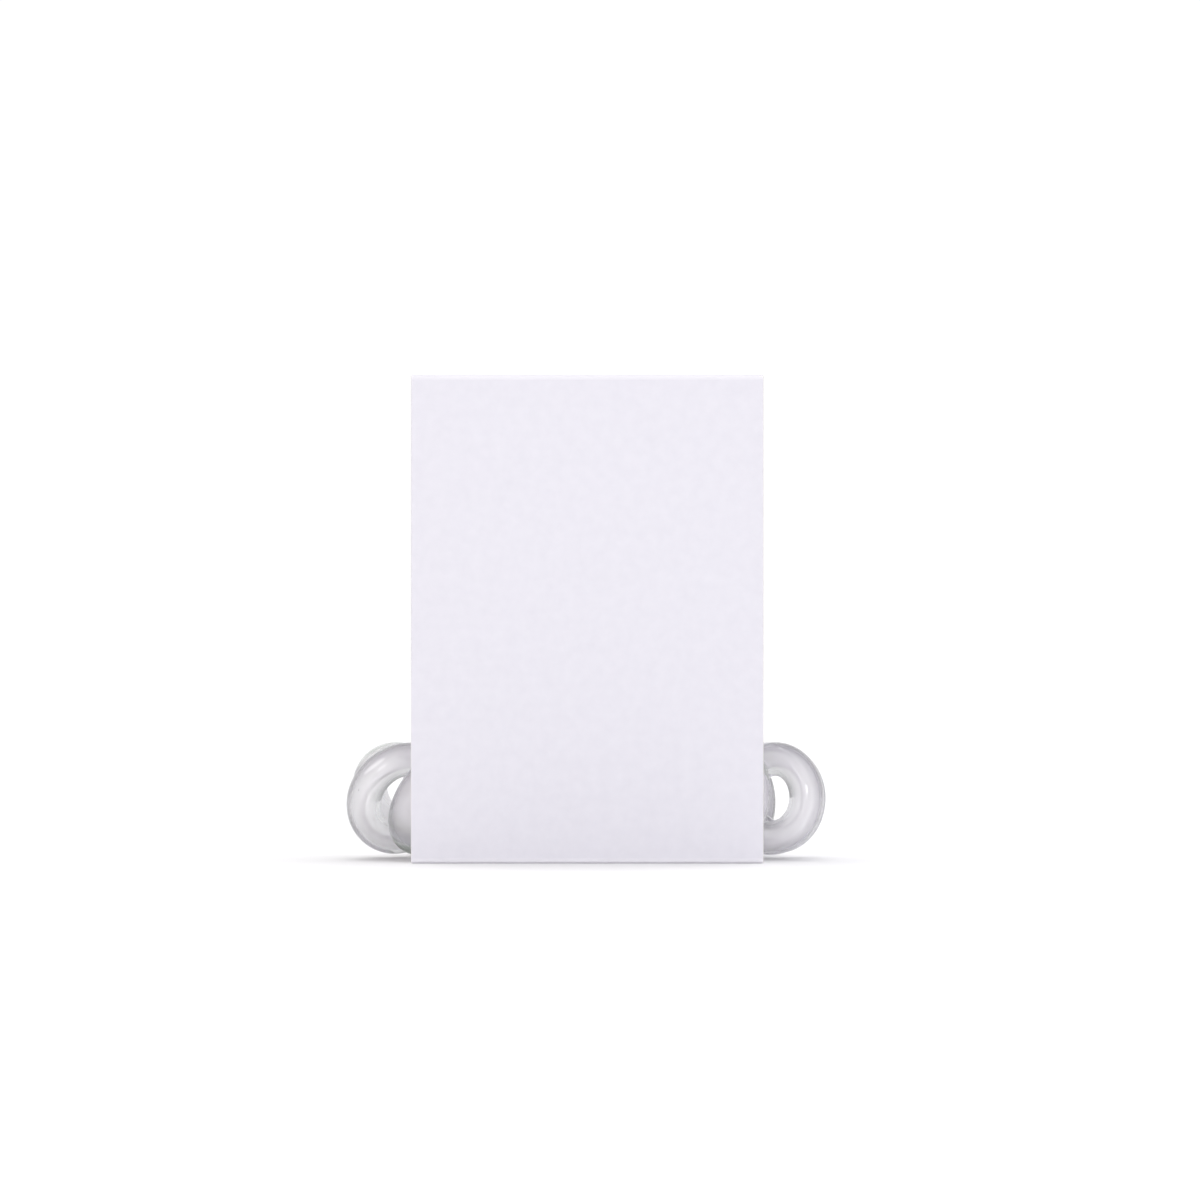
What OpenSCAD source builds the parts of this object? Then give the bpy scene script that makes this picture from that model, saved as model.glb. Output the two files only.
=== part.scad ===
// Spiral hair tie of clear soft plastic, resting in an open card sleeve.
// The tie is one closed cord, wound into a coil that runs round an oval ring.
// The sleeve is one strip of card, folded into a tube that is open at its left and right.
// Millimetres. +Z is up and -Y is the front. The origin is under the middle of the sleeve,
// on the surface that it stands on.

/* [Spiral tie] */
// Outer width of the ring, from left to right
ring_w = 38.8; // [35:0.2:50]
// Outer depth of the ring, from front to back, as the sleeve presses it
ring_d = 31.8; // [31:0.2:50]
// Outer width of the coil, across the ring
coil_w = 8.3; // [7.5:0.1:9]
// Outer height of the coil
coil_h = 8.9; // [7.5:0.1:9.5]
// Thickness of the cord, from the coil's outside to its inside
cord_t = 2.7; // [1.8:0.05:2.9]
// Width of the cord, along the coil
cord_w = 3.4; // [2:0.05:3.6]
// Number of turns of the coil round the ring
turns = 14; // [9:1:15]
// Angle of the cord about the coil's axis at the middle of the front, up from the outside
coil_start = 26; // [0:1:359]
// How far the top of a loop at the left or right leans to the front, and its bottom to the back
lean = 0.75; // [0:0.05:1]

/* [Card sleeve] */
// Width of the sleeve, from one open end to the other
sleeve_w = 27.2; // [18:0.1:32]
// Height of the sleeve
sleeve_h = 37.7; // [16:0.1:60]
// Thickness of the card
card_t = 0.3; // [0.25:0.05:0.6]
// Inner radius of the folds
fold_in = 0.15; // [0.1:0.05:1]
// Height of the glued lap, which lies inside the back under the top fold
lap_h = 7; // [3:0.5:9]
// Height of the bare edge at the back, from the cut edge of the back panel to the top fold
lap_reveal = 0.5; // [0.2:0.1:1.5]

/* [Fit] */
// Gap between the tie and the card that it rests on and is pressed by
tie_gap = 0.05; // [0.05:0.05:0.4]

/* [Hidden] */

// Rings of points along each turn of the cord, and points round the cord
rings_per_turn = 28;
cord_sides = 12;
// Steps in each fold of the card
fold_steps = 8;

// Axis of the coil: an oval round the origin, with these half lengths
axis_x = (ring_w - coil_w) / 2;
axis_y = (ring_d - coil_w) / 2;
// Length of that oval
axis_length = 2 * PI * sqrt((axis_x ^ 2 + axis_y ^ 2) / 2);
// Distance from the coil's axis to the middle of the cord, across the ring and upwards
wind_w = (coil_w - cord_t) / 2;
wind_h = (coil_h - cord_t) / 2;
// Height of the coil's axis over the surface
axis_z = card_t + tie_gap + coil_h / 2;
ring_count = turns * rings_per_turn;

// Outer depth of the sleeve, made to hold the ring
sleeve_d = ring_d + 2 * (tie_gap + card_t);

tie_color = "#d9dae0";
card_color = "#eeecf2";

function unit(v) = v / norm(v);

// Angle on the oval at a share of its way round, from the front towards +X.
// The second term keeps the turns evenly spaced where the oval is flatter.
oval_slack = (axis_x ^ 2 - axis_y ^ 2) / (axis_x ^ 2 + axis_y ^ 2) / 4;
function oval_angle(share) = 360 * share - oval_slack * sin(720 * share) * 180 / PI;

function oval_point(t) = [axis_x * sin(t), -axis_y * cos(t), axis_z];
function oval_outward(t) = unit([axis_y * sin(t), -axis_x * cos(t), 0]);

// Angle of the cord about the coil's axis, and the angle on the oval that it stands at.
// The loops at the left and right lean, so their tops stand nearer the front.
function wind_angle(share) = coil_start + 360 * turns * share;
function stand_angle(share) =
    oval_angle(share - lean / axis_length * sin(360 * share) * sin(wind_angle(share)));

// Outward direction from the coil's axis to the cord, and the middle of the cord
function wind_outward(share) =
    let (a = wind_angle(share))
    cos(a) * oval_outward(stand_angle(share)) + [0, 0, sin(a)];
function cord_middle(share) =
    let (a = wind_angle(share), t = stand_angle(share))
    oval_point(t) + wind_w * cos(a) * oval_outward(t) + [0, 0, wind_h * sin(a)];

// One ring of points round the cord, square to its run
function cord_ring(share) =
    let (
        step = 0.5 / ring_count,
        run = unit(cord_middle(share + step) - cord_middle(share - step)),
        out_raw = wind_outward(share),
        out = unit(out_raw - (out_raw * run) * run),
        along = cross(run, out)
    )
    [for (k = [0 : cord_sides - 1])
        let (a = 360 * k / cord_sides)
        cord_middle(share) + out * cos(a) * cord_t / 2 + along * sin(a) * cord_w / 2];

function ring_index(i, k) = (i % ring_count) * cord_sides + k % cord_sides;

module spiral_tie() {
    points = [for (i = [0 : ring_count - 1]) each cord_ring(i / ring_count)];
    faces = [for (i = [0 : ring_count - 1], k = [0 : cord_sides - 1])
        each [
            [ring_index(i, k), ring_index(i, k + 1), ring_index(i + 1, k + 1)],
            [ring_index(i, k), ring_index(i + 1, k + 1), ring_index(i + 1, k)]
        ]];
    color(tie_color)
        polyhedron(points, faces);
}

// Points of a fold of radius r about [y, z], from angle a0 to a1
function fold(y, z, r, a0, a1) =
    [for (i = [0 : fold_steps])
        let (a = a0 + (a1 - a0) * i / fold_steps)
        [y + r * cos(a), z + r * sin(a)]];

// Outline of the card from its left side: the front is at -y and the back at +y.
// The back panel lies outside the lap, so its layers reach to half_d and the lap's to lap_y.
half_d = sleeve_d / 2;
lap_y = half_d - card_t;
fold_r = fold_in + card_t;
cut_z = sleeve_h - fold_r - lap_reveal;

outer_outline = concat(
    [[half_d, cut_z], [lap_y, cut_z]],
    fold(lap_y - fold_r, sleeve_h - fold_r, fold_r, 0, 90),
    fold(-half_d + fold_r, sleeve_h - fold_r, fold_r, 90, 180),
    fold(-half_d + fold_r, fold_r, fold_r, 180, 270),
    fold(half_d - fold_r, fold_r, fold_r, 270, 360)
);

inner_outline = concat(
    [[lap_y, cut_z - lap_h], [lap_y - card_t, cut_z - lap_h]],
    fold(lap_y - fold_r, sleeve_h - fold_r, fold_in, 0, 90),
    fold(-half_d + fold_r, sleeve_h - fold_r, fold_in, 90, 180),
    fold(-half_d + fold_r, fold_r, fold_in, 180, 270),
    fold(half_d - fold_r, fold_r, fold_in, 270, 360)
);

module card_sleeve() {
    color(card_color)
        rotate([90, 0, 90])
            translate([0, 0, -sleeve_w / 2])
                linear_extrude(sleeve_w)
                    difference() {
                        polygon(outer_outline);
                        polygon(inner_outline);
                    }
}

spiral_tie();
card_sleeve();
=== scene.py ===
"""A spiral hair tie of clear soft plastic that rests in an open sleeve of white card.

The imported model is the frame. The tie's cord and the sleeve's card are made again here in
full detail, in the same places, and the scene adds a pale floor, soft light and the camera.
Lengths are in metres, +Z is up and -Y is the front.
"""

import logging
import math
from dataclasses import dataclass
from enum import Enum

import bpy
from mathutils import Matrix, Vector


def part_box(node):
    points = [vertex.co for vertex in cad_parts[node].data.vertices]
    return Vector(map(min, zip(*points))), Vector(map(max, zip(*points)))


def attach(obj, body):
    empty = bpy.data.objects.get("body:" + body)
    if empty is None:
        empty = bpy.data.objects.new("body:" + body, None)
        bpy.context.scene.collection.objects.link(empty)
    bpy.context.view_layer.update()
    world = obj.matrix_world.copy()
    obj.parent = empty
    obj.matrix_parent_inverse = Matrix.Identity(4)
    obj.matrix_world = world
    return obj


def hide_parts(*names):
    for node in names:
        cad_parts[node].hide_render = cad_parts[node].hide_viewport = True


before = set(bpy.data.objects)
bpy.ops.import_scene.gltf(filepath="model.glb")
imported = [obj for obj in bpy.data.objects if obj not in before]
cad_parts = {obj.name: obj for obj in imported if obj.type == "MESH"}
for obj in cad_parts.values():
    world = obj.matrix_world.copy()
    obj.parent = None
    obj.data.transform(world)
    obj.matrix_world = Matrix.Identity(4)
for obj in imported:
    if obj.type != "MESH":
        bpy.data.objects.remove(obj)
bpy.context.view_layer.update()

MM = 0.001
BODY = "root"
log = logging.getLogger("spiral_hair_tie")

# The colour sockets of a Mix node, by number, because its other sockets share their names
MIX_A = 6
MIX_B = 7
MIX_RESULT = 2


class Hue(Enum):
    """The colours of the object and its studio, as sRGB hex values."""

    TPU = "#faf7fb"
    TPU_DEPTH = "#b7ccb8"
    TPU_SPECK = "#8d8a86"
    BOARD = "#d6d4dc"
    BOARD_MOTTLE = "#dfdde4"
    BOARD_CORE = "#dbd8d4"
    # Pale fold colour: partly worn coating, partly a painted highlight along each bend
    BOARD_WEAR_AND_HIGHLIGHT = "#ebe9ef"
    FLOOR = "#f7f7f7"
    BACKDROP = "#ffffff"
    SURROUND = "#ffffff"
    LAMP = "#ffffff"
    LAMP_WARM = "#fff4f4"
    LAMP_COOL = "#f3f1ff"

    def linear(self) -> tuple[float, float, float, float]:
        """Return the colour as linear red, green, blue and alpha."""
        return linear_rgba(self.value)


def linear_rgba(hex_code: str) -> tuple[float, float, float, float]:
    """Turn an sRGB hex value to linear light.

    Args:
        hex_code: The colour, such as "#e8e6ee".

    Returns:
        Linear red, green and blue from 0 to 1, and an alpha of 1.
    """
    shares = [int(hex_code[i : i + 2], 16) / 255 for i in (1, 3, 5)]
    red, green, blue = (s / 12.92 if s <= 0.04045 else ((s + 0.055) / 1.055) ** 2.4 for s in shares)
    return red, green, blue, 1.0


def add_node(
    tree: bpy.types.NodeTree,
    kind: str,
    inputs: dict[int | str, object] | None = None,
    **settings: object,
) -> bpy.types.Node:
    """Add one node to a tree, with its settings and what feeds its inputs.

    Args:
        tree: The tree of a material, of the world or of a piece's geometry.
        kind: The node's type.
        inputs: A value, a socket or a node for each input, by the input's name or number.
            A node stands for its first output.
        **settings: The node's own properties.

    Returns:
        The new node.
    """
    node = tree.nodes.new(kind)
    for name, value in settings.items():
        setattr(node, name, value)
    for key, value in (inputs or {}).items():
        if isinstance(value, bpy.types.Node):
            value = value.outputs[0]
        if isinstance(value, bpy.types.NodeSocket):
            tree.links.new(value, node.inputs[key])
        else:
            node.inputs[key].default_value = value
    return node


def new_material(name: str) -> tuple[bpy.types.Material, bpy.types.NodeTree]:
    """Make an empty material.

    Args:
        name: The real material's name.

    Returns:
        The material and its tree, with no nodes in it.
    """
    material = bpy.data.materials.new(name)
    material.use_nodes = True
    material.node_tree.nodes.clear()
    return material, material.node_tree


def place_piece(piece: bpy.types.Object, node: str) -> None:
    """Let a piece stand for a CAD node and ride on the body.

    Args:
        piece: The finished piece.
        node: The CAD node that it replaces.
    """
    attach(piece, BODY)
    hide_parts(node)
    log.info("%s: %d faces", piece.name, len(piece.data.polygons))


@dataclass(frozen=True)
class ClearTPU:
    """Injection-moulded clear thermoplastic polyurethane.

    It gives the eye a glossy, faintly milky rod with soft waves and a few specks of dust. Seen
    square on, its skin is milky; towards its edges it is clear and grey-green with depth. The
    milk fades between two facings, of which 0 is square on and 1 is edge-on.
    """

    milk: float = 0.58
    edge_milk: float = 0.1
    fade_from: float = 0.1
    fade_to: float = 0.75
    ior: float = 1.5
    roughness: float = 0.035
    roughness_spread: float = 0.05
    absorption: float = 95.0
    ripple_length: float = 2.2 * MM
    ripple_depth: float = 0.03 * MM
    ripple_detail: float = 1.5
    ripple_falloff: float = 0.4
    grain_length: float = 0.35 * MM
    grain_detail: float = 3.0
    grain_low: float = 0.35
    grain_high: float = 0.75
    speck_spacing: float = 1.3 * MM
    speck_radius: float = 0.05 * MM

    def build(self) -> bpy.types.Material:
        """Make the material.

        Returns:
            The clear plastic, with its depth colour in its volume.
        """
        material, tree = new_material("clear_tpu")
        place = add_node(tree, "ShaderNodeTexCoord").outputs["Object"]
        ripple = add_node(
            tree,
            "ShaderNodeTexNoise",
            {
                "Vector": place,
                "Scale": 1 / self.ripple_length,
                "Detail": self.ripple_detail,
                "Roughness": self.ripple_falloff,
            },
        )
        wave = add_node(
            tree,
            "ShaderNodeBump",
            {"Height": ripple, "Distance": self.ripple_depth, "Strength": 1.0},
        )
        grain = add_node(
            tree,
            "ShaderNodeTexNoise",
            {"Vector": place, "Scale": 1 / self.grain_length, "Detail": self.grain_detail},
        )
        gloss = add_node(
            tree,
            "ShaderNodeMapRange",
            {
                "Value": grain,
                "From Min": self.grain_low,
                "From Max": self.grain_high,
                "To Min": self.roughness,
                "To Max": self.roughness + self.roughness_spread,
            },
        )
        cells = add_node(
            tree,
            "ShaderNodeTexVoronoi",
            {"Vector": place, "Scale": 1 / self.speck_spacing, "Randomness": 1.0},
        )
        speck = add_node(
            tree,
            "ShaderNodeMath",
            {0: cells.outputs["Distance"], 1: self.speck_radius / self.speck_spacing},
            operation="LESS_THAN",
        )
        body = add_node(
            tree,
            "ShaderNodeMix",
            {0: speck, MIX_A: Hue.TPU.linear(), MIX_B: Hue.TPU_SPECK.linear()},
            data_type="RGBA",
        ).outputs[MIX_RESULT]
        edge = add_node(tree, "ShaderNodeLayerWeight", {"Blend": 0.5}).outputs["Facing"]
        skin = add_node(
            tree,
            "ShaderNodeMapRange",
            {
                "Value": edge,
                "From Min": self.fade_from,
                "From Max": self.fade_to,
                "To Min": 1.0 - self.milk,
                "To Max": 1.0 - self.edge_milk,
            },
        )
        inner_side = add_node(tree, "ShaderNodeNewGeometry").outputs["Backfacing"]
        clarity = add_node(tree, "ShaderNodeMath", {0: skin, 1: inner_side}, operation="MAXIMUM")
        shader = add_node(
            tree,
            "ShaderNodeBsdfPrincipled",
            {
                "Base Color": body,
                "Roughness": gloss,
                "IOR": self.ior,
                "Transmission Weight": clarity,
                "Normal": wave,
            },
        )
        depth = add_node(
            tree,
            "ShaderNodeVolumeAbsorption",
            {"Color": Hue.TPU_DEPTH.linear(), "Density": self.absorption},
        )
        add_node(tree, "ShaderNodeOutputMaterial", {"Surface": shader, "Volume": depth})
        return material


@dataclass(frozen=True)
class WhiteBoard:
    """Coated white paperboard, die-cut, creased and folded.

    It gives the eye a matte, faintly lavender sheet with a fine fibre mottle, paler along
    the folds, where their bends stretch the coating and where a highlight is painted on,
    and a duller core of pressed pulp at its cut edges.
    """

    roughness: float = 0.62
    mottle_length: float = 0.9 * MM
    mottle_detail: float = 4.0
    fibre_length: float = 0.12 * MM
    fibre_detail: float = 3.0
    fibre_falloff: float = 0.7
    fibre_depth: float = 0.004 * MM

    def build(self) -> bpy.types.Material:
        """Make the material.

        Returns:
            The board, which reads the sheet's core attribute and its attribute for fold wear
            and the painted fold highlight.
        """
        material, tree = new_material("coated_white_board")
        place = add_node(tree, "ShaderNodeTexCoord").outputs["Object"]
        mottle = add_node(
            tree,
            "ShaderNodeTexNoise",
            {"Vector": place, "Scale": 1 / self.mottle_length, "Detail": self.mottle_detail},
        )
        fibre = add_node(
            tree,
            "ShaderNodeTexNoise",
            {
                "Vector": place,
                "Scale": 1 / self.fibre_length,
                "Detail": self.fibre_detail,
                "Roughness": self.fibre_falloff,
            },
        )
        relief = add_node(
            tree,
            "ShaderNodeBump",
            {"Height": fibre, "Distance": self.fibre_depth, "Strength": 1.0},
        )
        face = add_node(
            tree,
            "ShaderNodeMix",
            {0: mottle, MIX_A: Hue.BOARD.linear(), MIX_B: Hue.BOARD_MOTTLE.linear()},
            data_type="RGBA",
        ).outputs[MIX_RESULT]
        # Paler along the folds: partly the coating's wear, partly a painted highlight on each bend
        fold_wear_and_highlight = add_node(tree, "ShaderNodeAttribute", attribute_name="fold_wear_and_highlight").outputs["Fac"]
        worn_and_highlit = add_node(
            tree,
            "ShaderNodeMix",
            {0: fold_wear_and_highlight, MIX_A: face, MIX_B: Hue.BOARD_WEAR_AND_HIGHLIGHT.linear()},
            data_type="RGBA",
        ).outputs[MIX_RESULT]
        core = add_node(tree, "ShaderNodeAttribute", attribute_name="core").outputs["Fac"]
        sheet = add_node(
            tree,
            "ShaderNodeMix",
            {0: core, MIX_A: worn_and_highlit, MIX_B: Hue.BOARD_CORE.linear()},
            data_type="RGBA",
        ).outputs[MIX_RESULT]
        shader = add_node(
            tree,
            "ShaderNodeBsdfPrincipled",
            {"Base Color": sheet, "Roughness": self.roughness, "Normal": relief},
        )
        add_node(tree, "ShaderNodeOutputMaterial", {"Surface": shader})
        return material


@dataclass
class SpiralTie:
    """The hair tie: one closed cord, wound into a coil that runs round an oval ring.

    The ring rests on the bottom panel and is pressed oval between the front and the back.
    The facet gap is how much thinner the round cord is, to stay inside the CAD's flat facets.
    """

    node: str = "spiral_tie"
    slot: str = "clear_tpu"
    ring_w: float = 38.8 * MM
    ring_d: float = 31.8 * MM
    coil_w: float = 8.3 * MM
    coil_h: float = 8.9 * MM
    cord_t: float = 2.7 * MM
    cord_w: float = 3.4 * MM
    turns: int = 14
    coil_start: float = math.radians(26)
    lean: float = 0.75 * MM
    facet_gap: float = 0.05 * MM
    rings_per_turn: int = 120
    sides: int = 40

    def tree_inputs(self) -> dict[str, float | int | bpy.types.Material]:
        """Work out what the coil's tree needs from the tie's sizes.

        Returns:
            Each named input's value.
        """
        low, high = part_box(self.node)
        half_w = (self.ring_w - self.coil_w) / 2
        half_d = (self.ring_d - self.coil_w) / 2
        axis_length = math.tau * math.sqrt((half_w**2 + half_d**2) / 2)
        return {
            "Axis Half Width": half_w,
            "Axis Half Depth": half_d,
            "Axis Height": (low[2] + high[2]) / 2,
            "Oval Slack": (half_w**2 - half_d**2) / (half_w**2 + half_d**2) / 4,
            "Lean Share": self.lean / axis_length,
            "Winding Half Width": (self.coil_w - self.cord_t) / 2,
            "Winding Half Height": (self.coil_h - self.cord_t) / 2,
            "Half Thickness": (self.cord_t - self.facet_gap) / 2,
            "Half Width": (self.cord_w - self.facet_gap) / 2,
            "Start Angle": self.coil_start,
            "Turns": self.turns,
            "Rings": self.turns * self.rings_per_turn,
            "Sides": self.sides,
            "Material": ClearTPU().build(),
        }

    def coil_tree(self, inputs: dict[str, object]) -> bpy.types.NodeTree:
        """Build the tree that winds the cord and sweeps its section along it.

        Args:
            inputs: The named inputs, whose types the tree's sockets take.

        Returns:
            The tree, which ends in one realized mesh.
        """
        socket_kinds = {float: "NodeSocketFloat", int: "NodeSocketInt"}
        tree = bpy.data.node_groups.new("wound_cord", "GeometryNodeTree")
        tree.interface.new_socket("Geometry", in_out="OUTPUT", socket_type="NodeSocketGeometry")
        for name, value in inputs.items():
            kind = socket_kinds.get(type(value), "NodeSocketMaterial")
            tree.interface.new_socket(name, in_out="INPUT", socket_type=kind)
        given = add_node(tree, "NodeGroupInput").outputs

        # Place along the cord, from 0 to 1, and the winding's angle about the coil's axis
        index = add_node(tree, "GeometryNodeInputIndex")
        share = add_node(tree, "ShaderNodeMath", {0: index, 1: given["Rings"]}, operation="DIVIDE")
        wound = add_node(
            tree, "ShaderNodeMath", {0: share, 1: given["Turns"]}, operation="MULTIPLY"
        )
        winding = add_node(
            tree,
            "ShaderNodeMath",
            {0: wound, 1: math.tau, 2: given["Start Angle"]},
            operation="MULTIPLY_ADD",
        )
        reach = add_node(tree, "ShaderNodeMath", {0: winding}, operation="COSINE")
        rise = add_node(tree, "ShaderNodeMath", {0: winding}, operation="SINE")

        # The loops at the left and right lean, so their tops stand nearer the front
        round_once = add_node(
            tree, "ShaderNodeMath", {0: share, 1: math.tau}, operation="MULTIPLY"
        )
        aside = add_node(tree, "ShaderNodeMath", {0: round_once}, operation="SINE")
        tipped = add_node(tree, "ShaderNodeMath", {0: aside, 1: rise}, operation="MULTIPLY")
        shift = add_node(
            tree, "ShaderNodeMath", {0: tipped, 1: given["Lean Share"]}, operation="MULTIPLY"
        )
        stand = add_node(tree, "ShaderNodeMath", {0: share, 1: shift}, operation="SUBTRACT")

        # The angle on the oval, which keeps the turns evenly spaced
        twice = add_node(tree, "ShaderNodeMath", {0: stand, 1: 2 * math.tau}, operation="MULTIPLY")
        swing = add_node(tree, "ShaderNodeMath", {0: twice}, operation="SINE")
        slack = add_node(
            tree, "ShaderNodeMath", {0: swing, 1: given["Oval Slack"]}, operation="MULTIPLY"
        )
        whole = add_node(
            tree,
            "ShaderNodeMath",
            {0: stand, 1: math.tau, 2: -math.pi / 2},
            operation="MULTIPLY_ADD",
        )
        angle = add_node(tree, "ShaderNodeMath", {0: whole, 1: slack}, operation="SUBTRACT")
        cosine = add_node(tree, "ShaderNodeMath", {0: angle}, operation="COSINE")
        sine = add_node(tree, "ShaderNodeMath", {0: angle}, operation="SINE")
        heading = add_node(tree, "ShaderNodeCombineXYZ", {"X": cosine, "Y": sine})

        # The coil's axis, and the way out from it, level and then up round the winding
        oval = add_node(
            tree,
            "ShaderNodeCombineXYZ",
            {"X": given["Axis Half Width"], "Y": given["Axis Half Depth"]},
        )
        lift = add_node(tree, "ShaderNodeCombineXYZ", {"Z": given["Axis Height"]})
        axis = add_node(
            tree, "ShaderNodeVectorMath", {0: heading, 1: oval, 2: lift}, operation="MULTIPLY_ADD"
        )
        swapped = add_node(
            tree,
            "ShaderNodeCombineXYZ",
            {"X": given["Axis Half Depth"], "Y": given["Axis Half Width"]},
        )
        slope = add_node(
            tree, "ShaderNodeVectorMath", {0: heading, 1: swapped}, operation="MULTIPLY"
        )
        level = add_node(tree, "ShaderNodeVectorMath", {0: slope}, operation="NORMALIZE")
        risen = add_node(tree, "ShaderNodeCombineXYZ", {"Z": rise})
        outward = add_node(
            tree, "ShaderNodeVectorMath", {0: level, 1: reach, 2: risen}, operation="MULTIPLY_ADD"
        )
        winding_size = add_node(
            tree,
            "ShaderNodeCombineXYZ",
            {
                "X": given["Winding Half Width"],
                "Y": given["Winding Half Width"],
                "Z": given["Winding Half Height"],
            },
        )
        middle = add_node(
            tree,
            "ShaderNodeVectorMath",
            {0: outward, 1: winding_size, 2: axis},
            operation="MULTIPLY_ADD",
        )

        # The cord's middle line, closed, with its normal outward from the coil's axis
        line = add_node(tree, "GeometryNodeCurvePrimitiveLine")
        points = add_node(
            tree,
            "GeometryNodeResampleCurve",
            {"Curve": line, "Count": given["Rings"]},
            mode="COUNT",
        )
        placed = add_node(
            tree, "GeometryNodeSetPosition", {"Geometry": points, "Position": middle}
        )
        closed = add_node(
            tree, "GeometryNodeSetSplineCyclic", {"Geometry": placed, "Cyclic": True}
        )
        tangent = add_node(tree, "GeometryNodeInputTangent")
        slant = add_node(
            tree, "ShaderNodeVectorMath", {0: outward, 1: tangent}, operation="DOT_PRODUCT"
        ).outputs["Value"]
        slip = add_node(
            tree, "ShaderNodeVectorMath", {0: tangent, "Scale": slant}, operation="SCALE"
        )
        square = add_node(
            tree, "ShaderNodeVectorMath", {0: outward, 1: slip}, operation="SUBTRACT"
        )
        turned = add_node(
            tree,
            "GeometryNodeSetCurveNormal",
            {"Curve": closed, "Normal": square},
            mode="FREE",
        )

        # The cord's oval section, swept along it
        circle = add_node(
            tree,
            "GeometryNodeCurvePrimitiveCircle",
            {"Resolution": given["Sides"], "Radius": 1.0},
            mode="RADIUS",
        )
        section_size = add_node(
            tree,
            "ShaderNodeCombineXYZ",
            {"X": given["Half Thickness"], "Y": given["Half Width"], "Z": 1.0},
        )
        section = add_node(
            tree, "GeometryNodeTransform", {"Geometry": circle, "Scale": section_size}
        )
        cord = add_node(
            tree, "GeometryNodeCurveToMesh", {"Curve": turned, "Profile Curve": section}
        )
        smooth = add_node(
            tree, "GeometryNodeSetShadeSmooth", {"Geometry": cord, "Shade Smooth": True}
        )
        whole_cord = add_node(tree, "GeometryNodeRealizeInstances", {"Geometry": smooth})
        dressed = add_node(
            tree,
            "GeometryNodeSetMaterial",
            {"Geometry": whole_cord, "Material": given["Material"]},
        )
        add_node(tree, "NodeGroupOutput", {"Geometry": dressed})
        return tree

    def build(self) -> bpy.types.Object:
        """Wind the cord, turn it into a plain mesh and put it in the tie's place.

        Returns:
            The tie.
        """
        inputs = self.tree_inputs()
        tie = bpy.data.objects.new("spiral_tie_cord", bpy.data.meshes.new("spiral_tie_cord"))
        bpy.context.scene.collection.objects.link(tie)
        winder = tie.modifiers.new("wind", "NODES")
        winder.node_group = self.coil_tree(inputs)
        for item in winder.node_group.interface.items_tree:
            if item.in_out == "INPUT":
                winder[item.identifier] = inputs[item.name]
        settled = tie.evaluated_get(bpy.context.evaluated_depsgraph_get())
        mesh = bpy.data.meshes.new_from_object(settled)
        tie.modifiers.remove(winder)
        tie.data = mesh
        place_piece(tie, self.node)
        return tie


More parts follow.
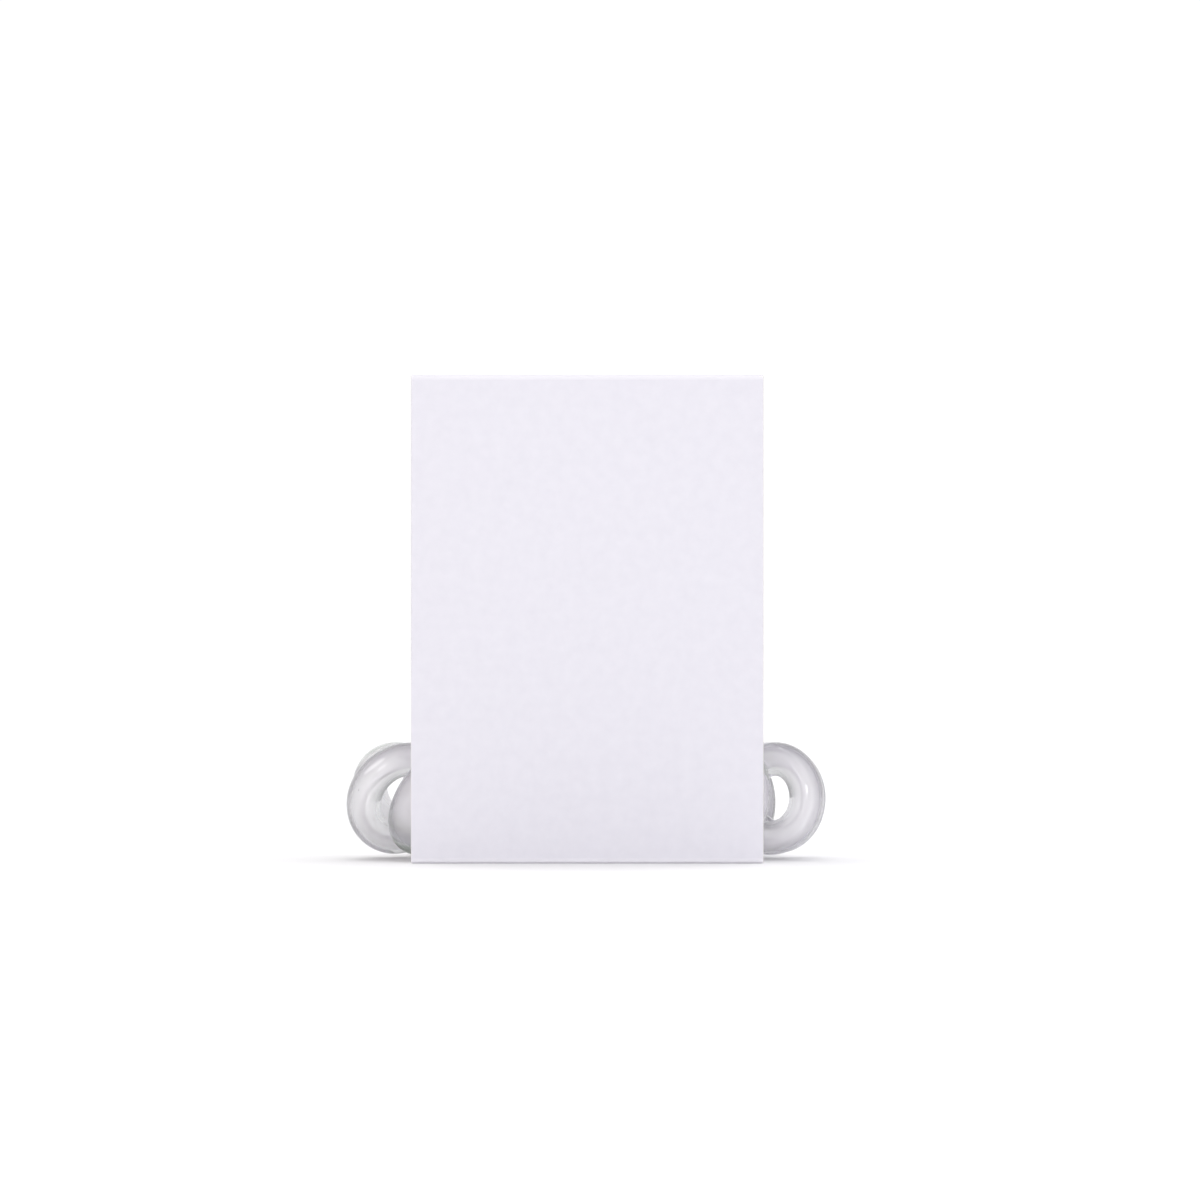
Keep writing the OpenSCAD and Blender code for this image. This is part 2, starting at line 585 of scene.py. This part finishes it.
@dataclass
class CardSleeve:
    """The sleeve: one strip of board, folded into a tube that is open at its left and right.

    The strip starts at the cut edge of the back panel, runs down the back, along the bottom,
    up the front and back over the top, and ends in a lap that is glued inside the back.
    The glue gap parts the lap from the back panel, and the edge radius rounds the cut edges.
    """

    node: str = "card_sleeve"
    slot: str = "white_card"
    card_t: float = 0.3 * MM
    fold_in: float = 0.15 * MM
    lap_h: float = 7 * MM
    lap_reveal: float = 0.5 * MM
    glue_gap: float = 0.015 * MM
    edge_r: float = 0.07 * MM
    edge_steps: int = 4
    fold_steps: int = 12
    panel_step: float = 1.5 * MM

    def centre_line(self) -> list[tuple[Vector, Vector]]:
        """Follow the middle of the board from its cut edge at the back to the end of the lap.

        Returns:
            Each station's point and the board's outward direction there.
        """
        low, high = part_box(self.node)
        top = high[2]
        back = high[1]
        front = low[1]
        fold_r = self.fold_in + self.card_t
        lap_y = back - self.card_t
        cut_z = top - fold_r - self.lap_reveal
        mid_r = self.fold_in + self.card_t / 2
        folds = [
            (back - fold_r, fold_r, 0, -90),
            (front + fold_r, fold_r, -90, -180),
            (front + fold_r, top - fold_r, 180, 90),
            (lap_y - self.glue_gap - fold_r, top - fold_r, 90, 0),
        ]
        stations = [(Vector((0, back - self.card_t / 2, cut_z)), Vector((0, 1, 0)))]
        for y, z, start, end in folds:
            for i in range(self.fold_steps + 1):
                angle = math.radians(start + (end - start) * i / self.fold_steps)
                outward = Vector((0, math.cos(angle), math.sin(angle)))
                self.run_flat(stations, Vector((0, y, z)) + mid_r * outward, outward)
        lap_end = Vector((0, stations[-1][0].y, cut_z - self.lap_h))
        self.run_flat(stations, lap_end, Vector((0, 1, 0)))
        return stations

    def run_flat(
        self, stations: list[tuple[Vector, Vector]], end: Vector, outward: Vector
    ) -> None:
        """Add stations from the last one to a point, evenly spaced along a flat panel.

        Args:
            stations: The stations so far, which this adds to.
            end: The point to reach.
            outward: The board's outward direction there.
        """
        start = stations[-1][0]
        steps = max(1, round((end - start).length / self.panel_step))
        for i in range(1, steps + 1):
            stations.append((start.lerp(end, i / steps), outward))

    def section(self, inset: float) -> list[tuple[float, float]]:
        """Go round the board's cross-section, across the strip and through its thickness.

        Args:
            inset: How far inside the board's true section the points lie.

        Returns:
            Points as distance along X and distance outward from the board's middle.
        """
        low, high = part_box(self.node)
        half_w = (high[0] - low[0]) / 2 - self.edge_r
        half_t = self.card_t / 2 - self.edge_r
        round_r = self.edge_r - inset
        corners = [
            (half_w, half_t, 0),
            (-half_w, half_t, 90),
            (-half_w, -half_t, 180),
            (half_w, -half_t, 270),
        ]
        points = []
        for x, out, first in corners:
            for i in range(self.edge_steps + 1):
                angle = math.radians(first + 90 * i / self.edge_steps)
                points.append((x + round_r * math.cos(angle), out + round_r * math.sin(angle)))
        return points

    def build(self) -> bpy.types.Object:
        """Sweep the board along its centre line and put it in the sleeve's place.

        Returns:
            The sleeve.
        """
        stations = self.centre_line()
        full = self.section(0)
        rings = [
            [point + Vector((x, 0, 0)) + outward * out for x, out in full]
            for point, outward in stations
        ]
        first_run = (stations[1][0] - stations[0][0]).normalized()
        last_run = (stations[-2][0] - stations[-1][0]).normalized()
        start_cap = self.rounded_end(stations[0], first_run)
        end_cap = self.rounded_end(stations[-1], last_run)
        rings = start_cap + rings[1:-1] + end_cap[::-1]
        count = len(full)
        points = [p for ring in rings for p in ring]
        faces = [
            (
                i * count + k,
                i * count + (k + 1) % count,
                (i + 1) * count + (k + 1) % count,
                (i + 1) * count + k,
            )
            for i in range(len(rings) - 1)
            for k in range(count)
        ]
        faces.append(tuple(reversed(range(count))))
        faces.append(tuple(range((len(rings) - 1) * count, len(rings) * count)))
        mesh = bpy.data.meshes.new("card_sleeve_board")
        mesh.from_pydata([tuple(p) for p in points], [], faces)
        mesh.validate()
        cut = max(abs(x) for x, _ in full) - self.edge_r / 2
        # Pale fold marks, partly wear and partly a painted highlight, strongest half way round each
        # fold
        bends = [2 * abs(outward.y * outward.z) for _, outward in stations[1:-1]]
        caps = len(start_cap)
        fold_wear_and_highlight = [0.0] * caps + bends + [0.0] * caps
        cap_core = [1.0] * (caps - 1) + [0.0]
        core = cap_core + [0.0] * len(bends) + cap_core[::-1]
        worn_and_highlit = [value for value in fold_wear_and_highlight for _ in full]
        bare = [max(value, float(abs(x) > cut)) for value in core for x, _ in full]
        mesh.attributes.new("fold_wear_and_highlight", "FLOAT", "POINT").data.foreach_set("value", worn_and_highlit)
        mesh.attributes.new("core", "FLOAT", "POINT").data.foreach_set("value", bare)
        sleeve = bpy.data.objects.new("card_sleeve_board", mesh)
        bpy.context.scene.collection.objects.link(sleeve)
        mesh.materials.append(WhiteBoard().build())
        for face in mesh.polygons:
            face.use_smooth = True
        place_piece(sleeve, self.node)
        return sleeve

    def rounded_end(
        self, station: tuple[Vector, Vector], inward: Vector
    ) -> list[list[Vector]]:
        """Round the board's edge at one of its cut ends.

        Args:
            station: The end's point and outward direction.
            inward: The direction along the board, away from the end.

        Returns:
            Rings of points, from the end's flat face inward.
        """
        point, outward = station
        rings = []
        for i in range(self.edge_steps + 1):
            angle = math.radians(90 * i / self.edge_steps)
            middle = point + inward * self.edge_r * (1 - math.cos(angle))
            section = self.section(self.edge_r * (1 - math.sin(angle)))
            rings.append([middle + Vector((x, 0, 0)) + outward * out for x, out in section])
        return rings


@dataclass(frozen=True)
class SoftLight:
    """A round soft light, so far away that it lights the whole floor evenly.

    Azimuth and elevation say where it stands and angle how wide it looks, all in degrees.
    Azimuth 0 is in front and 90 at +X. One that isn't mirrored lights only matte surfaces.
    """

    name: str
    azimuth: float
    elevation: float
    angle: float
    radiance: float
    mirrored: bool = True
    hue: Hue = Hue.LAMP

    def build(self) -> None:
        """Hang the light and aim it at the object."""
        around = math.radians(self.azimuth)
        up = math.radians(self.elevation)
        level = Vector((math.sin(around), -math.cos(around), 0))
        away = level * math.cos(up) + Vector((0, 0, math.sin(up)))
        light = bpy.data.lights.new(self.name, "SUN")
        light.angle = math.radians(self.angle)
        light.energy = self.radiance * math.pi * math.sin(light.angle / 2) ** 2
        light.color = self.hue.linear()[:3]
        lamp = bpy.data.objects.new(self.name, light)
        lamp.location = away
        lamp.rotation_euler = away.to_track_quat("Z", "Y").to_euler()
        lamp.visible_glossy = self.mirrored
        lamp.visible_transmission = self.mirrored
        bpy.context.scene.collection.objects.link(lamp)


@dataclass
class Studio:
    """A plain white floor, a white surround and soft light.

    The two small lights in front make the highlights of the cord. The wide ones in front, at
    the sides, above and behind light the floor white, and leave the soft shadows at the
    sleeve's foot. The surround is bright up to the bright angle from straight ahead or behind,
    and dims over the bright fade on either side of it, in degrees.
    """

    floor_half: float = 12.0
    backdrop: float = 1.05
    bright: float = 1.0
    dim: float = 0.42
    bright_angle: float = 38
    bright_fade: float = 16
    lights: tuple[SoftLight, ...] = (
        SoftLight("key_light", 24, 19, 14, 7.5),
        SoftLight("left_light", -32, 9, 19, 5.0),
        SoftLight("left_fill", -94, 20, 90, 0.4, mirrored=False, hue=Hue.LAMP_WARM),
        SoftLight("right_fill", 94, 20, 90, 0.68, mirrored=False, hue=Hue.LAMP_COOL),
        SoftLight("front_fill", 0, 8, 50, 0.6, mirrored=False),
        SoftLight("top_light", 180, 70, 40, 2.6, mirrored=False),
        SoftLight("back_light", 180, 38, 60, 1.0, mirrored=False),
    )

    def build_floor(self) -> None:
        """Lay the floor, a matte white sheet far wider than the view."""
        half = self.floor_half
        mesh = bpy.data.meshes.new("studio_floor")
        corners = [(-half, -half, 0), (half, -half, 0), (half, half, 0), (-half, half, 0)]
        mesh.from_pydata(corners, [], [(0, 1, 2, 3)])
        floor = bpy.data.objects.new("studio_floor", mesh)
        bpy.context.scene.collection.objects.link(floor)
        material, tree = new_material("matte_white_paper")
        shader = add_node(tree, "ShaderNodeBsdfDiffuse", {"Color": Hue.FLOOR.linear()})
        add_node(tree, "ShaderNodeOutputMaterial", {"Surface": shader})
        mesh.materials.append(material)

    def build_surround(self) -> None:
        """Make the background white, and the surround bright in front and behind and dim aside.

        The dim sides give the clear cord its darker edges, as a light tent's open sides do.
        """
        world = bpy.data.worlds.new("studio_surround")
        world.use_nodes = True
        tree = world.node_tree
        tree.nodes.clear()
        direction = add_node(tree, "ShaderNodeTexCoord").outputs["Generated"]
        depth = add_node(tree, "ShaderNodeSeparateXYZ", {0: direction}).outputs["Y"]
        nearness = add_node(tree, "ShaderNodeMath", {0: depth}, operation="ABSOLUTE")
        strength = add_node(
            tree,
            "ShaderNodeMapRange",
            {
                "Value": nearness,
                "From Min": math.cos(math.radians(self.bright_angle + self.bright_fade)),
                "From Max": math.cos(math.radians(self.bright_angle - self.bright_fade)),
                "To Min": self.dim,
                "To Max": self.bright,
            },
            interpolation_type="SMOOTHSTEP",
        ).outputs["Result"]
        around = add_node(
            tree,
            "ShaderNodeBackground",
            {"Color": Hue.SURROUND.linear(), "Strength": strength},
        )
        white = add_node(
            tree,
            "ShaderNodeBackground",
            {"Color": Hue.BACKDROP.linear(), "Strength": self.backdrop},
        )
        seen = add_node(tree, "ShaderNodeLightPath").outputs["Is Camera Ray"]
        both = add_node(tree, "ShaderNodeMixShader", {0: seen, 1: around, 2: white})
        add_node(tree, "ShaderNodeOutputWorld", {"Surface": both})
        bpy.context.scene.world = world

    def build(self) -> None:
        """Build the floor, the surround and the lights."""
        self.build_floor()
        self.build_surround()
        for light in self.lights:
            light.build()
            log.info("%s", light.name)
        bpy.context.scene.view_settings.view_transform = "Standard"


@dataclass(frozen=True)
class PhotoCamera:
    """The photograph's camera, level and just above the floor.

    Its values are in the photograph's own pixels, and its distance follows from them.
    """

    frame_px: int = 1200
    focal_px: float = 8000
    horizon_row: float = 670
    ring_px_per_mm: float = 12.635
    middle_column: float = 587.5
    eye_height: float = 14.92 * MM
    sensor: float = 36.0
    clip_start: float = 0.01
    clip_end: float = 40

    def build(self) -> None:
        """Set the camera up and make it the scene's."""
        data = bpy.data.cameras.new("photo_camera")
        data.sensor_width = self.sensor
        data.lens = self.focal_px / self.frame_px * self.sensor
        data.shift_y = (self.horizon_row - self.frame_px / 2) / self.frame_px
        data.clip_start = self.clip_start
        data.clip_end = self.clip_end
        camera = bpy.data.objects.new("photo_camera", data)
        side = (self.frame_px / 2 - self.middle_column) / self.ring_px_per_mm * MM
        away = self.focal_px / self.ring_px_per_mm * MM
        camera.location = (side, -away, self.eye_height)
        camera.rotation_euler = (math.pi / 2, 0, 0)
        bpy.context.scene.collection.objects.link(camera)
        bpy.context.scene.camera = camera


def main() -> None:
    """Build the camera, the studio, the tie and the sleeve."""
    logging.basicConfig(level=logging.INFO, format="%(name)s: %(message)s")
    PhotoCamera().build()
    Studio().build()
    SpiralTie().build()
    CardSleeve().build()


if __name__ == "__main__":
    main()
